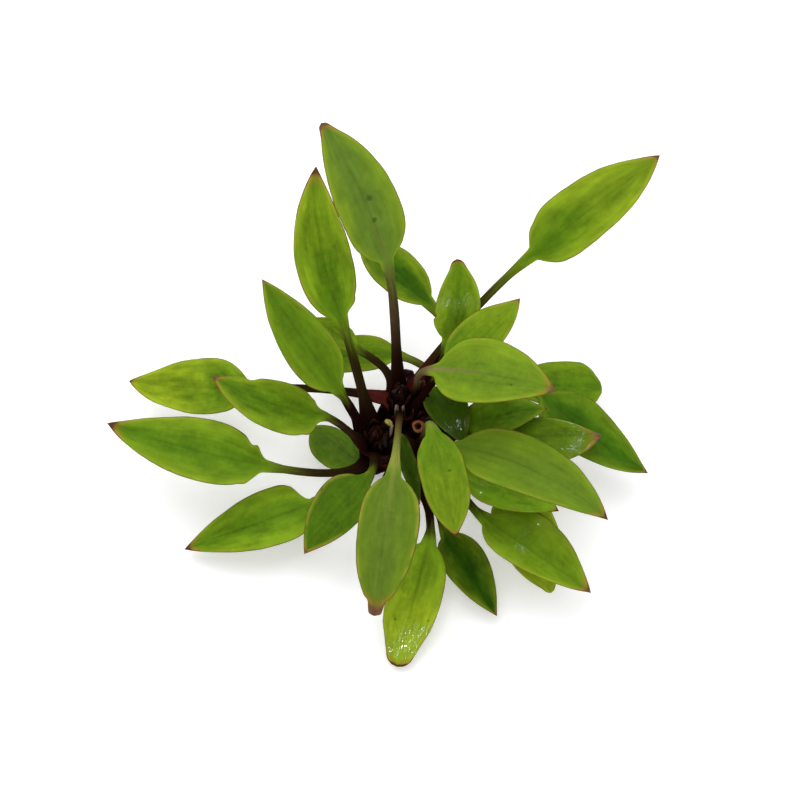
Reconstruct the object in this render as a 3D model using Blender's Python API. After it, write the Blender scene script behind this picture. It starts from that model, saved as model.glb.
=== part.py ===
"""A dwarf cryptocoryne, a small rosette plant for aquariums, as lifted out of its pot and stood on a surface.

Thirty leaves grow from three shoots on one dark rootstock. Each leaf is one solid: a petiole, which is the
leaf's stalk, and a lance-shaped blade. The origin is on the rootstock's flat foot, below the middle shoot,
+Z is up, and the photograph was taken from the -Y side. Lengths are in metres, except in the tables of
shoots, stubs, roots and leaves, which are in mm.
"""

import math
from collections import namedtuple

import bmesh
import bpy
from mathutils import Matrix, Vector, noise

MM = 0.001
UP = Vector((0, 0, 1))

# Driving size: the blade of the far left leaf is 40 mm long and spans 160 pixels of the photograph.
FAR_LEFT_BLADE = 0.040
FAR_LEFT_BLADE_PIXELS = 160
PIXEL = FAR_LEFT_BLADE / FAR_LEFT_BLADE_PIXELS

# How the photograph looks at the plant: steeply down, with the crown in the middle of its frame.
PHOTO_CENTRE = 400
VIEW_ELEVATION = math.radians(58)
VIEW_DISTANCE = 0.62
VIEW_TARGET = Vector((0, 0, 0.018))

# Meshes that touch keep this gap.
GAP = 0.3 * MM

# The rootstock is a squat knobbly body, cut flat underneath.
ROOTSTOCK_CENTRE = Vector((0.2, -2.8, 3.0)) * MM
ROOTSTOCK_RADII = Vector((9.6, 7.6, 5.2)) * MM
ROOTSTOCK_LUMP = 0.09
ROOTSTOCK_LUMP_SIZE = 6 * MM
ROOTSTOCK_SEGMENTS = 24
ROOTSTOCK_RINGS = 12

# A shoot is the cone of old sheaths that a tuft of leaves grows from. Its places are (x, y) in mm.
Shoot = namedtuple("Shoot", "foot top height foot_radius top_radius")
SHOOTS = {
    "middle": Shoot((-0.2, 0.6), (0.3, 2.0), 19.0, 4.2, 2.0),
    "left": Shoot((-5.3, -5.8), (-6.0, -7.0), 14.0, 4.0, 2.3),
    "right": Shoot((5.8, -5.2), (6.3, -6.0), 17.0, 4.2, 2.3),
}
SHOOT_FOOT_HEIGHT = 1
SHOOT_SIDES = 12

# Stubs of old petioles, and a bud: (shoot, start height, end x, y and z, radius at the start and the end),
# in mm.
Stub = namedtuple("Stub", "shoot height end start_radius end_radius")
STUBS = (
    Stub("middle", 12.0, (2.2, 9.5, 17.0), 1.1, 1.6),
    Stub("right", 13.0, (4.4, -8.2, 19.0), 1.7, 1.8),
    Stub("left", 10.0, (-2.6, -4.0, 14.6), 1.3, 1.2),
    Stub("left", 6.0, (-11.5, -2.5, 9.5), 1.1, 0.9),
)
STUB_SIDES = 10

# A shoot, stub or root is rounded off over this share of its end's radius, and keeps this share of it flat.
ROUNDED_LENGTH = 0.5
FLAT_SHARE = 0.7

# Trimmed roots leave the foot of the rootstock: degrees round it from +X, and length in mm.
ROOTS = (
    (18, 4.5), (52, 3.0), (95, 2.6), (140, 3.2), (176, 5.0), (214, 6.0), (250, 5.2), (287, 6.4), (330, 5.5),
)
ROOT_RADIUS = 0.7 * MM
ROOT_START_SHARE = 0.75
ROOT_SIDES = 8

# The petiole is broad where it sheathes its shoot, then round, and it flares again where it meets the blade.
PETIOLE_STATIONS = 6
SHEATH_HALF_WIDTH = 1.5 * MM
SHEATH_HALF_THICKNESS = 0.9 * MM
SHEATH_SHARE = 0.4
PETIOLE_HALF_WIDTH = 1.05 * MM
PETIOLE_HALF_THICKNESS = 0.8 * MM
NECK_HALF_WIDTH = 1.6 * MM
FLARE_SHARE = 0.25
PETIOLE_RISE = 0.35

# Leaves follow cubic Bezier curves. A handle is this share of its curve's length, and the petiole's is
# shorter at the neck. The curve's middle moves by 3/8 of what its first handle does.
HANDLE = 1 / 3
NECK_HANDLE = 1 / 4
FIRST_HANDLE_PULL = 8 / 3

# The blade is lofted through rings at these shares of its length. Past a short notch it swells with a round
# shoulder until it is fullest, and then it tapers more sharply.
BLADE_STATIONS = (0.0, 0.03, 0.06, 0.11, 0.18, 0.28, 0.40, 0.54, 0.68, 0.81, 0.92)
NOTCH = 0.02
SHOULDER = 3.2
TAPER = 1.8
NECK_HALF_THICKNESS = 0.7 * MM
NECK_SHARE = 0.2
BLADE_HALF_THICKNESS = 0.38 * MM
TIP_HALF_THICKNESS = 0.2 * MM
BLADE_FOLD = math.radians(8)
RING_POINTS = 8

# A leaf leaves its shoot at a height in mm, on the side that its blade is on, or turned round the shoot to
# the left of that. Its blade runs from the neck to the tip, both (pixel across, pixel down, height in mm).
# Width is the blade's, in mm, and lean moves that share of it from the right to the left, as seen along the
# leaf. Bow bends the petiole's middle to the left, in mm. Arch bends the blade down and sweep bows it to
# the left: these and the turn are in degrees. Full is the share of the blade's length at which it is
# widest, and blunt makes its tip rounder.
FIELDS = "name shoot height neck tip width lean turn bow arch sweep full blunt"
Leaf = namedtuple("Leaf", FIELDS, defaults=(0, 0, 0, 12, 0, 0.38, 0))

LEAVES = (
    Leaf("tall_back", "middle", 17, (387, 263, 52), (321, 123, 78), 16.0, sweep=-6, blunt=0.5),
    Leaf("tall_left", "left", 11, (341, 320, 34), (316, 166, 52), 14.2, sweep=13),
    Leaf("upper_left", "left", 12, (338, 389, 28), (262, 279, 44), 13.6, lean=0.05, sweep=5),
    Leaf("back_hidden", "right", 9, (428, 302, 22), (358, 240, 26), 12.5, lean=0.05, bow=-6, full=0.5),
    Leaf("back_small", "middle", 12, (449, 342, 30), (457, 259, 48), 11.2, turn=-30, sweep=-17, blunt=0.6),
    Leaf("back_pointed", "middle", 15, (446, 368, 33), (520, 298, 43), 12.2, lean=0.1, turn=-25, bow=-0.8,
         sweep=-13, full=0.45),
    Leaf("centre_right", "middle", 17, (434, 370, 40), (556, 391, 46), 18.8, turn=50, bow=0, sweep=3,
         blunt=0.15),
    Leaf("far_right_up", "middle", 16, (531, 256, 38), (660, 155, 52), 17.4, turn=2, bow=0.3, sweep=-6,
         blunt=0.25),
    Leaf("far_left_back", "middle", 15, (252, 388, 14), (129, 381, 9), 17.0, sweep=14),
    Leaf("left_middle", "left", 11, (320, 415, 22), (212, 376, 28), 14.4, lean=0.1, turn=35, arch=8,
         sweep=18, full=0.34),
    Leaf("far_left", "left", 6, (265, 466, 18), (107, 423, 20), 17.8, turn=35, bow=3, sweep=12, blunt=-0.1),
    Leaf("low_left", "left", 3, (314, 503, 10), (184, 549, 4), 16.5, lean=0.03, turn=17, sweep=7, full=0.3),
    Leaf("low_left_inner", "left", 9, (366, 479, 19), (304, 554, 12), 13.2, sweep=-3),
    Leaf("left_under", "left", 3, (358, 462, 4), (311, 426, 5), 10.6, lean=0.3, arch=6, blunt=1.0),
    Leaf("front", "middle", 15, (393, 474, 34), (374, 616, 22), 14.6, lean=0.1, blunt=0.6),
    Leaf("front_low", "right", 6, (429, 542, 8), (397, 667, 2), 13.4, turn=-20, full=0.45, blunt=0.6),
    Leaf("front_dark", "right", 4, (447, 534, 7), (497, 616, 4), 11.2, turn=10, sweep=-3),
    Leaf("front_light", "right", 15, (433, 432, 34), (456, 536, 26), 11.4, turn=-10, full=0.45, blunt=0.7),
    Leaf("right_large", "right", 13, (455, 447, 28), (608, 520, 32), 15.8, turn=25, sweep=12, blunt=0.3),
    Leaf("right_under", "right", 9, (466, 474, 18), (559, 511, 16), 13.6, turn=-8),
    Leaf("low_right", "right", 6, (485, 519, 14), (591, 593, 14), 15.8, lean=0.2, sweep=-5),
    Leaf("low_right_under", "right", 5, (508, 490, 8), (551, 593, 5), 15.0, blunt=1.2),
    Leaf("far_right", "right", 7, (543, 395, 17), (648, 473, 10), 15.2, turn=-9, sweep=-15),
    Leaf("right_back", "right", 5, (512, 388, 10), (602, 388, 8), 13.8, full=0.65, blunt=2.0),
    Leaf("right_middle", "right", 9, (482, 432, 20), (602, 434, 20), 14.2, lean=-0.3, turn=-6, sweep=-14,
         blunt=0.6),
    Leaf("right_dark", "right", 13, (466, 424, 20), (547, 408, 24), 12.0, turn=22),
    Leaf("centre_dark", "right", 14, (434, 391, 20), (464, 445, 22), 10.4, lean=0.1),
    Leaf("centre_narrow", "right", 11, (400, 440, 20), (420, 505, 16), 4.4),
    Leaf("back_left", "middle", 9, (396, 355, 14), (297, 373, 9), 10.8, bow=-7, sweep=-12),
    Leaf("back_shaded", "middle", 15, (353, 346, 23), (310, 318, 26), 7.0, turn=-15, bow=-1.5),
)

LEAF_GREEN = (0.16, 0.33, 0.02, 1)
LEAF_ROUGHNESS = 0.4
ROOTSTOCK_BROWN = (0.045, 0.012, 0.012, 1)
ROOTSTOCK_ROUGHNESS = 0.5


def material(name, colour, roughness):
    """A plain finish in one colour."""
    made = bpy.data.materials.new(name)
    made.use_nodes = True
    shader = made.node_tree.nodes["Principled BSDF"]
    shader.inputs["Base Color"].default_value = colour
    shader.inputs["Roughness"].default_value = roughness
    shader.inputs["Metallic"].default_value = 0
    return made


def finished_object(name, mesh, finish, place=(0, 0, 0)):
    """An object of that name at a place, from a bmesh: closed, facing out and shaded smooth."""
    bmesh.ops.recalc_face_normals(mesh, faces=mesh.faces)
    data = bpy.data.meshes.new(name)
    mesh.to_mesh(data)
    mesh.free()
    data.materials.append(finish)
    data.shade_smooth()
    made = bpy.data.objects.new(name, data)
    made.location = place
    bpy.context.scene.collection.objects.link(made)
    return made


def lofted(loops, apex=None):
    """A closed mesh through loops of points, with flat ends or with the last end drawn to an apex."""
    mesh = bmesh.new()
    rings = [[mesh.verts.new(point) for point in loop] for loop in loops]
    count = len(rings[0])
    mesh.faces.new(rings[0])
    for lower, upper in zip(rings, rings[1:]):
        for number in range(count):
            after = (number + 1) % count
            mesh.faces.new((lower[number], upper[number], upper[after], lower[after]))
    if apex is None:
        mesh.faces.new(rings[-1])
    else:
        point = mesh.verts.new(apex)
        for number in range(count):
            mesh.faces.new((rings[-1][number], point, rings[-1][(number + 1) % count]))
    return mesh


def circle(centre, axis, radius, sides):
    """Points of a circle round an axis."""
    across = axis.orthogonal().normalized()
    turn = 2 * math.pi / sides
    return [centre + Matrix.Rotation(turn * number, 3, axis) @ across * radius for number in range(sides)]


def seen_at(place):
    """The point at the given height which the photograph shows at the given pixel."""
    across, down, height = place
    back = Vector((0, -math.cos(VIEW_ELEVATION), math.sin(VIEW_ELEVATION)))
    right = Vector((1, 0, 0))
    eye = VIEW_TARGET + back * VIEW_DISTANCE
    ray = right * (across - PHOTO_CENTRE) - back.cross(right) * (down - PHOTO_CENTRE)
    ray = ray * PIXEL - back * VIEW_DISTANCE
    return eye + ray * ((height * MM - eye.z) / ray.z)


def shoot_at(shoot, height):
    """The middle of a shoot at a height in mm, and its radius there."""
    share = height / shoot.height
    middle = Vector((*shoot.foot, 0)).lerp(Vector((*shoot.top, shoot.height)), share)
    return middle * MM, (shoot.foot_radius + (shoot.top_radius - shoot.foot_radius) * share) * MM


def bezier(points, share):
    """The point at a share of the way along a cubic Bezier curve, and the direction there."""
    a, b, c, d = points
    rest = 1 - share
    place = a * rest**3 + b * 3 * rest**2 * share + c * 3 * rest * share**2 + d * share**3
    course = (b - a) * rest**2 + (c - b) * 2 * rest * share + (d - c) * share**2
    return place, course.normalized()


def eased(share):
    """A share from 0 to 1 that starts and ends gently."""
    return share * share * (3 - 2 * share)


def blade_half_width(leaf, share):
    """The blade's half width at a share of its length."""
    widest = leaf.width * MM / 2
    if share < leaf.full:
        swell = 1 - min(1, (leaf.full - share) / (leaf.full - NOTCH)) ** SHOULDER
        return NECK_HALF_WIDTH + (widest - NECK_HALF_WIDTH) * swell
    return widest * (1 - ((share - leaf.full) / (1 - leaf.full)) ** (TAPER + leaf.blunt))


def leaf_rings(leaf):
    """The rings of a leaf from its root to just short of its tip, as (place, direction, half width, half
    thickness), with its tip and the way its blade faces at the neck."""
    neck, tip = seen_at(leaf.neck), seen_at(leaf.tip)
    middle, radius = shoot_at(SHOOTS[leaf.shoot], leaf.height)
    outward = ((neck - middle) * Vector((1, 1, 0))).normalized()
    outward = Matrix.Rotation(math.radians(leaf.turn), 3, UP) @ outward
    root = middle + outward * (radius + GAP + SHEATH_HALF_THICKNESS)

    blade = tip - neck
    chord = blade.normalized()
    face = (UP - chord * UP.dot(chord)).normalized()
    bend = Matrix.Rotation(math.radians(leaf.arch), 3, chord.cross(face))
    bend = Matrix.Rotation(math.radians(leaf.sweep), 3, face) @ bend
    leaving, arriving = bend @ chord, bend.inverted() @ chord
    blade_handle = blade.length * HANDLE
    blade_curve = (neck, neck + leaving * blade_handle, tip - arriving * blade_handle, tip)

    petiole = neck - root
    rising = (petiole.normalized() + UP * PETIOLE_RISE).normalized() * petiole.length * HANDLE
    bowed = UP.cross(petiole).normalized() * leaf.bow * MM * FIRST_HANDLE_PULL
    petiole_curve = (root, root + rising + bowed, neck - leaving * petiole.length * NECK_HANDLE, neck)

    rings = []
    for number in range(PETIOLE_STATIONS):
        share = number / PETIOLE_STATIONS
        sheath = 1 - eased(min(1, share / SHEATH_SHARE))
        flare = max(0, 1 - (1 - share) / FLARE_SHARE) ** 2
        half_width = PETIOLE_HALF_WIDTH + (SHEATH_HALF_WIDTH - PETIOLE_HALF_WIDTH) * sheath
        half_width += (NECK_HALF_WIDTH - PETIOLE_HALF_WIDTH) * flare
        half_thickness = PETIOLE_HALF_THICKNESS + (SHEATH_HALF_THICKNESS - PETIOLE_HALF_THICKNESS) * sheath
        rings.append((*bezier(petiole_curve, share), half_width, half_thickness))
    for share in BLADE_STATIONS:
        half_thickness = BLADE_HALF_THICKNESS + (TIP_HALF_THICKNESS - BLADE_HALF_THICKNESS) * share
        half_thickness += (NECK_HALF_THICKNESS - BLADE_HALF_THICKNESS) * max(0, 1 - share / NECK_SHARE)
        rings.append((*bezier(blade_curve, share), blade_half_width(leaf, share), half_thickness))
    return rings, tip, face


def carried(face, rings):
    """The way each ring faces, carried along the leaf from its neck without twisting."""
    neck = PETIOLE_STATIONS
    faces = {}
    for numbers in (range(neck, len(rings)), range(neck, -1, -1)):
        facing = face
        for number in numbers:
            course = rings[number][1]
            facing = (facing - course * facing.dot(course)).normalized()
            faces[number] = facing
    return [faces[number] for number in range(len(rings))]


def leaf_object(leaf, finish):
    """One leaf, placed by its root: a petiole and blade lofted through rings of eight points."""
    rings, tip, face = leaf_rings(leaf)
    root = rings[0][0]
    rise = math.tan(BLADE_FOLD)
    loops = []
    for (place, course, half_width, half_thickness), facing in zip(rings, carried(face, rings)):
        left = facing.cross(course)
        flatness = 1 - min(1, half_thickness / half_width)
        loop = []
        for number in range(RING_POINTS):
            angle = 2 * math.pi * number / RING_POINTS
            out = half_width * math.cos(angle)
            lift = half_thickness * math.sin(angle) + abs(out) * rise * flatness
            shift = half_width * leaf.lean * flatness * (1 - abs(math.sin(angle)))
            loop.append(place - root + left * (out + shift) + facing * lift)
        loops.append(loop)
    return finished_object(f"leaf_{leaf.name}", lofted(loops, tip - root), finish, root)


def rhizome(finish):
    """The rootstock's squat body, lumpy all over and cut flat underneath."""
    mesh = bmesh.new()
    bmesh.ops.create_uvsphere(mesh, u_segments=ROOTSTOCK_SEGMENTS, v_segments=ROOTSTOCK_RINGS, radius=1)
    for vert in mesh.verts:
        lump = 1 + ROOTSTOCK_LUMP * noise.noise(vert.co * ROOTSTOCK_RADII.x / ROOTSTOCK_LUMP_SIZE)
        vert.co = ROOTSTOCK_CENTRE + vert.co * ROOTSTOCK_RADII * lump
    everything = mesh.verts[:] + mesh.edges[:] + mesh.faces[:]
    cut = bmesh.ops.bisect_plane(mesh, geom=everything, plane_co=(0, 0, 0), plane_no=-UP, clear_outer=True)
    rim = [part for part in cut["geom_cut"] if isinstance(part, bmesh.types.BMEdge)]
    bmesh.ops.contextual_create(mesh, geom=rim)
    return finished_object("rootstock", mesh, finish)


def rod(name, start, end, start_radius, end_radius, sides, finish):
    """A straight stub, rounded off at its end."""
    axis = (end - start).normalized()
    loops = [
        circle(start, axis, start_radius, sides),
        circle(end - axis * end_radius * ROUNDED_LENGTH, axis, end_radius, sides),
        circle(end, axis, end_radius * FLAT_SHARE, sides),
    ]
    return finished_object(name, lofted(loops), finish)


def rootstock(finish):
    """Rhizome, shoots, stubs and trimmed roots, grown together as one solid."""
    body = rhizome(finish)
    limbs = []
    for name, shoot in SHOOTS.items():
        foot, foot_radius = shoot_at(shoot, SHOOT_FOOT_HEIGHT)
        top, top_radius = shoot_at(shoot, shoot.height)
        limbs.append(rod(name, foot, top, foot_radius, top_radius, SHOOT_SIDES, finish))
    for number, stub in enumerate(STUBS):
        start, _ = shoot_at(SHOOTS[stub.shoot], stub.height)
        end = Vector(stub.end) * MM
        radii = (stub.start_radius * MM, stub.end_radius * MM)
        limbs.append(rod(f"stub_{number}", start, end, *radii, STUB_SIDES, finish))
    middle = Vector((ROOTSTOCK_CENTRE.x, ROOTSTOCK_CENTRE.y, ROOT_RADIUS))
    for angle, length in ROOTS:
        way = Matrix.Rotation(math.radians(angle), 3, UP) @ Vector((1, 0, 0))
        start = middle + way * ROOTSTOCK_RADII * ROOT_START_SHARE
        end = middle + way * ROOTSTOCK_RADII + way * length * MM
        limbs.append(rod(f"root_{angle}", start, end, ROOT_RADIUS, ROOT_RADIUS, ROOT_SIDES, finish))
    for limb in limbs:
        join = body.modifiers.new("join", "BOOLEAN")
        join.operation = "UNION"
        join.solver = "EXACT"
        join.object = limb
        limb.hide_render = True
        limb.display_type = "WIRE"
    return body


def main():
    for old in list(bpy.data.objects):
        bpy.data.objects.remove(old)
    rootstock(material("rootstock_brown", ROOTSTOCK_BROWN, ROOTSTOCK_ROUGHNESS))
    green = material("leaf_green", LEAF_GREEN, LEAF_ROUGHNESS)
    for leaf in LEAVES:
        leaf_object(leaf, green)


main()
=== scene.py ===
# %% [markdown]
# # A dwarf cryptocoryne
#
# This lesson dresses a small aquarium plant in Blender. Its solids are ready: a squat rootstock and thirty leaves,
# each at its real size and place. Here every one of them gets the surface of the living thing, without moving.
#
# The solids come first, because everything else is measured from them.

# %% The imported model
import math
from collections import namedtuple

import bmesh
import bpy
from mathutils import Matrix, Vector


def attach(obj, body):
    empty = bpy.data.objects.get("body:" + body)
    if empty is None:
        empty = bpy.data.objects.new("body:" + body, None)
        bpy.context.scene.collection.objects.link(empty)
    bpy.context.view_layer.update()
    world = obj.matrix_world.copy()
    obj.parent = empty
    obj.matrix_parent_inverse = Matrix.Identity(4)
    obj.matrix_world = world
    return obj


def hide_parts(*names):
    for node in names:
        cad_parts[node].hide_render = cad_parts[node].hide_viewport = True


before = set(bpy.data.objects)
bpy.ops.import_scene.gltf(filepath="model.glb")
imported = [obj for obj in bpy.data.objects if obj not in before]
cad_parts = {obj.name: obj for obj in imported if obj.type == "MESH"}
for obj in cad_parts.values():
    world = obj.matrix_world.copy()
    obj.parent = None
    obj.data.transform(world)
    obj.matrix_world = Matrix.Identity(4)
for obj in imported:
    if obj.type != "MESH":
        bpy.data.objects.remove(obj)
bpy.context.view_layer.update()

MM = 0.001
UP = Vector((0, 0, 1))
LEAF_NAMES = sorted(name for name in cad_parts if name.startswith("leaf_"))

# %% [markdown]
# ## The camera
#
# The photograph looks steeply down at the plant from a distance, with a long lens that keeps near and far leaves
# alike in scale. A blade of 40 mm spans 160 of its 800 pixels, and that fixes the focal length.

# %% The photograph's view
PHOTO_PIXELS = 800
PIXEL = 40 * MM / 160
VIEW_ELEVATION = math.radians(58)
VIEW_DISTANCE = 0.62
VIEW_TARGET = Vector((0, 0, 0.018))
SENSOR = 36

view_back = Vector((0, -math.cos(VIEW_ELEVATION), math.sin(VIEW_ELEVATION)))
camera_data = bpy.data.cameras.new("camera")
camera_data.sensor_width = SENSOR
camera_data.lens = SENSOR * VIEW_DISTANCE / (PHOTO_PIXELS * PIXEL)
camera = bpy.data.objects.new("camera", camera_data)
camera.location = VIEW_TARGET + view_back * VIEW_DISTANCE
camera.rotation_euler = (math.pi / 2 - VIEW_ELEVATION, 0, 0)
bpy.context.scene.collection.objects.link(camera)
bpy.context.scene.camera = camera
print(f"lens {camera_data.lens:.1f} mm")

# %% [markdown]
# ## The studio
#
# The plant stands on plain white under a white sky, with one broad lamp above and behind it. The lamp is large for
# its distance, so the shadows under the leaves are soft and fall towards the camera. The paper glows a little, as on
# a light table, which keeps those shadows as faint as in the photograph. The Standard view transform keeps white
# paper white, which the default one would grey.
#
# Some small lamps make the glints, each where a wet leaf mirrors it towards the camera. They light nothing else,
# because sharp lamps would harden the shadows. The broad lamp and the sky stay out of reflections, where their glare
# would turn dark wet leaves grey.

# %% Floor, sky and lamps
FLOOR_SIZE = 4
FLOOR_DROP = 0.1 * MM
SKY_WHITE = (1, 1, 1, 1)
SKY_STRENGTH = 0.85
LAMP_SIZE = 0.8
LAMP_PLACE = Vector((-0.15, 0.2, 0.9))
LAMP_WATTS = 4.9
GLINT_SIZE = 0.1
GLINT_WATTS = 3.5
GLINT_PLACES = (
    Vector((-0.15, -0.16, 0.85)),
    Vector((0.5, 0.62, 0.75)),
    Vector((0.06, 0.58, 0.75)),
    Vector((-0.08, 0.42, 0.8)),
    Vector((0.3, 0.85, 0.8)),
    Vector((0.72, 0.2, 0.75)),
    Vector((-0.2, -0.75, 0.25)),
)
PAPER = (0.78, 0.78, 0.79, 1)
PAPER_ROUGHNESS = 0.9
PAPER_GLOW = (1, 0.96, 1, 1)
PAPER_GLOW_STRENGTH = 0.35


def new_finish(name, **constants):
    """A material, its nodes and its shader with constants set on its own sockets."""
    made = bpy.data.materials.new(name)
    made.use_nodes = True
    shader = made.node_tree.nodes["Principled BSDF"]
    for label, value in constants.items():
        shader.inputs[label.replace("_", " ")].default_value = value
    return made, made.node_tree, shader


floor_mesh = bmesh.new()
bmesh.ops.create_grid(floor_mesh, x_segments=1, y_segments=1, size=FLOOR_SIZE / 2)
floor_data = bpy.data.meshes.new("floor")
floor_mesh.to_mesh(floor_data)
floor_mesh.free()
floor = bpy.data.objects.new("floor", floor_data)
floor.location.z = -FLOOR_DROP
paper, tree, shader = new_finish("white_paper", Base_Color=PAPER, Roughness=PAPER_ROUGHNESS)
shader.inputs["Emission Color"].default_value = PAPER_GLOW
shader.inputs["Emission Strength"].default_value = PAPER_GLOW_STRENGTH
floor_data.materials.append(paper)
bpy.context.scene.collection.objects.link(floor)

sky = bpy.data.worlds.new("sky")
sky.use_nodes = True
sky.node_tree.nodes["Background"].inputs["Color"].default_value = SKY_WHITE
sky.node_tree.nodes["Background"].inputs["Strength"].default_value = SKY_STRENGTH
sky.cycles_visibility.glossy = False
bpy.context.scene.world = sky

for lamp_place in (LAMP_PLACE, *GLINT_PLACES):
    for_glints = lamp_place != LAMP_PLACE
    label = "glint_lamp" if for_glints else "broad_lamp"
    lamp_data = bpy.data.lights.new(label, "AREA")
    lamp_data.size = GLINT_SIZE if for_glints else LAMP_SIZE
    lamp_data.energy = GLINT_WATTS if for_glints else LAMP_WATTS
    lamp = bpy.data.objects.new(label, lamp_data)
    lamp.location = lamp_place
    lamp.visible_glossy = for_glints
    lamp.visible_diffuse = not for_glints
    lamp.rotation_euler = (VIEW_TARGET - lamp_place).to_track_quat("-Z", "Y").to_euler()
    bpy.context.scene.collection.objects.link(lamp)
bpy.context.scene.view_settings.view_transform = "Standard"

# %% [markdown]
# ## Sums that build nodes
#
# A node tree for a leaf is mostly arithmetic. Wiring a hundred Math nodes by hand hides the formula, so this small
# class lets a node's output be written in a sum like any number. Each operation adds its node to the tree, whether
# the Field stands on the left of the sign or on its right.

# %% Field, a node's output to calculate with
class Field:
    """A node's output. A sum, product or power of it adds the Math node that works it out."""

    def __init__(self, socket):
        self.socket = socket

    def __neg__(self):
        return self * -1

    def __abs__(self):
        return maths("ABSOLUTE", self)


OPERATORS = {"add": "ADD", "sub": "SUBTRACT", "mul": "MULTIPLY", "truediv": "DIVIDE", "pow": "POWER"}
for label, operation in OPERATORS.items():
    setattr(Field, f"__{label}__", lambda self, other, operation=operation: maths(operation, self, other))
    setattr(Field, f"__r{label}__", lambda self, other, operation=operation: maths(operation, other, self))


def put(socket, value):
    """Feeds a node's input: a Field by a link, anything else as a constant."""
    if isinstance(value, Field):
        socket.id_data.links.new(value.socket, socket)
    else:
        socket.default_value = value


def node(tree, kind, inputs=None, **settings):
    """A new node with its settings, and its inputs fed by name or number."""
    made = tree.nodes.new(kind)
    for name, value in settings.items():
        setattr(made, name, value)
    for name, value in (inputs or {}).items():
        put(made.inputs[name], value)
    return made


def field(tree, kind, inputs=None, output=0, **settings):
    """An output of a new node, to calculate with."""
    return Field(node(tree, kind, inputs, **settings).outputs[output])


def tree_of(values):
    """The tree that the first Field among some values belongs to."""
    return next(value for value in values if isinstance(value, Field)).socket.id_data


def maths(operation, *values):
    """The output of a new Math node."""
    return field(tree_of(values), "ShaderNodeMath", dict(enumerate(values)), operation=operation)


def vector(operation, *values, output="Vector"):
    """The output of a new Vector Math node."""
    return field(tree_of(values), "ShaderNodeVectorMath", dict(enumerate(values)), output, operation=operation)


def scaled(arrow, length):
    """A vector times a number."""
    return field(tree_of([arrow]), "ShaderNodeVectorMath", {0: arrow, "Scale": length}, operation="SCALE")


def noise_at(spot, scale, detail):
    """Noise from -1 to 1 at a place."""
    return field(tree_of([spot]), "ShaderNodeTexNoise", {"Vector": spot, "Scale": scale, "Detail": detail}) * 2 - 1


def step(value, low, high):
    """0 below low, 1 above high and a smooth ramp between them. It falls where low is above high."""
    inputs = {"Value": value, "From Min": low, "From Max": high}
    return field(tree_of([value]), "ShaderNodeMapRange", inputs, interpolation_type="SMOOTHSTEP")


def bump_at(value, middle, width):
    """A hill of height 1 round a middle, with soft sides."""
    return step(abs(value - middle), width, 0)


def mixed(share, first, second):
    """From the first value at 0 to the second at 1."""
    return first + (second - first) * share


# %% [markdown]
# ## Reading a leaf from its solid
#
# Each leaf's solid is a tube of rings with eight points, from the root of its petiole to the tip of its blade. The
# tip is the one point from which the rest of the mesh falls into layers of eight, so the rings can be found by
# walking outwards from it. A ring then gives the midrib, both margins, the thickness and the way the blade faces.

# %% Stations along a leaf
RING_POINTS = 8
WELD = 0.001 * MM
SAME_LENGTH_DIGITS = 7
Station = namedtuple("Station", "middle to_left to_right face half_thickness")


def layers_from(start):
    """The vertices of a mesh in layers, each one edge further from the start."""
    layers, seen = [[start]], {start}
    while layers[-1]:
        ring = {edge.other_vert(vert) for vert in layers[-1] for edge in vert.link_edges} - seen
        seen |= ring
        layers.append(list(ring))
    return layers[:-1]


def rings_from_tip(mesh):
    """The tip of a leaf, and its rings from there to the root."""
    for vert in mesh.verts:
        layers = layers_from(vert) if len(vert.link_edges) == RING_POINTS else []
        if len(layers) > 1 and all(len(layer) == RING_POINTS for layer in layers[1:]):
            return vert.co.copy(), layers[1:]
    raise ValueError("no tip: the solid isn't a leaf")


def walked(ring, left, face):
    """A ring's points in order: left margin first, then over the top to the right margin and back underneath."""
    first = max(ring, key=lambda vert: vert.co.dot(left))
    beside = [edge.other_vert(first) for edge in first.link_edges if edge.other_vert(first) in ring]
    order = [first, max(beside, key=lambda vert: vert.co.dot(face))]
    while len(order) < RING_POINTS:
        around = [edge.other_vert(order[-1]) for edge in order[-1].link_edges]
        order.append(next(vert for vert in around if vert in ring and vert not in order))
    return [vert.co.copy() for vert in order]


def stations_of(name):
    """A leaf's stations from its root to its tip."""
    mesh = bmesh.new()
    mesh.from_mesh(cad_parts[name].data)
    bmesh.ops.remove_doubles(mesh, verts=mesh.verts, dist=WELD)
    tip, rings = rings_from_tip(mesh)
    rings.reverse()
    cap = [face for face in mesh.faces if all(vert in rings[0] for vert in face.verts)]
    bmesh.ops.delete(mesh, geom=cap, context="FACES")
    centres = [sum((vert.co for vert in ring), Vector()) / RING_POINTS for ring in rings]
    after = centres[1:] + [tip]
    before = centres[:1] + centres[:-1]
    courses = [(late - early).normalized() for early, late in zip(before, after)]

    def breadth(ring):
        return max((one.co - other.co).length for one in ring for other in ring)

    widest = max(range(len(rings)), key=lambda number: breadth(rings[number]))
    pairs = [one.co - other.co for one in rings[widest] for other in rings[widest]]
    across = max(pairs, key=lambda pair: (round(pair.length, SAME_LENGTH_DIGITS), pair.x, pair.y))
    facing = courses[widest].cross(across).normalized()
    facing *= 1 if facing.z > 0 else -1
    faces = {}
    for numbers in (range(widest, len(rings)), range(widest, -1, -1)):
        face = facing
        for number in numbers:
            face = (face - courses[number] * face.dot(courses[number])).normalized()
            faces[number] = face
    found = []
    for number, ring in enumerate(rings):
        left, top, right, bottom = walked(ring, faces[number].cross(courses[number]), faces[number])[::2]
        middle, through = (top + bottom) / 2, (top - bottom) / 2
        found.append(Station(middle, left - middle, right - middle, through.normalized(), through.length))
    found.append(Station(tip, Vector(), Vector(), found[-1].face, 0))
    mesh.free()
    return found


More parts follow.
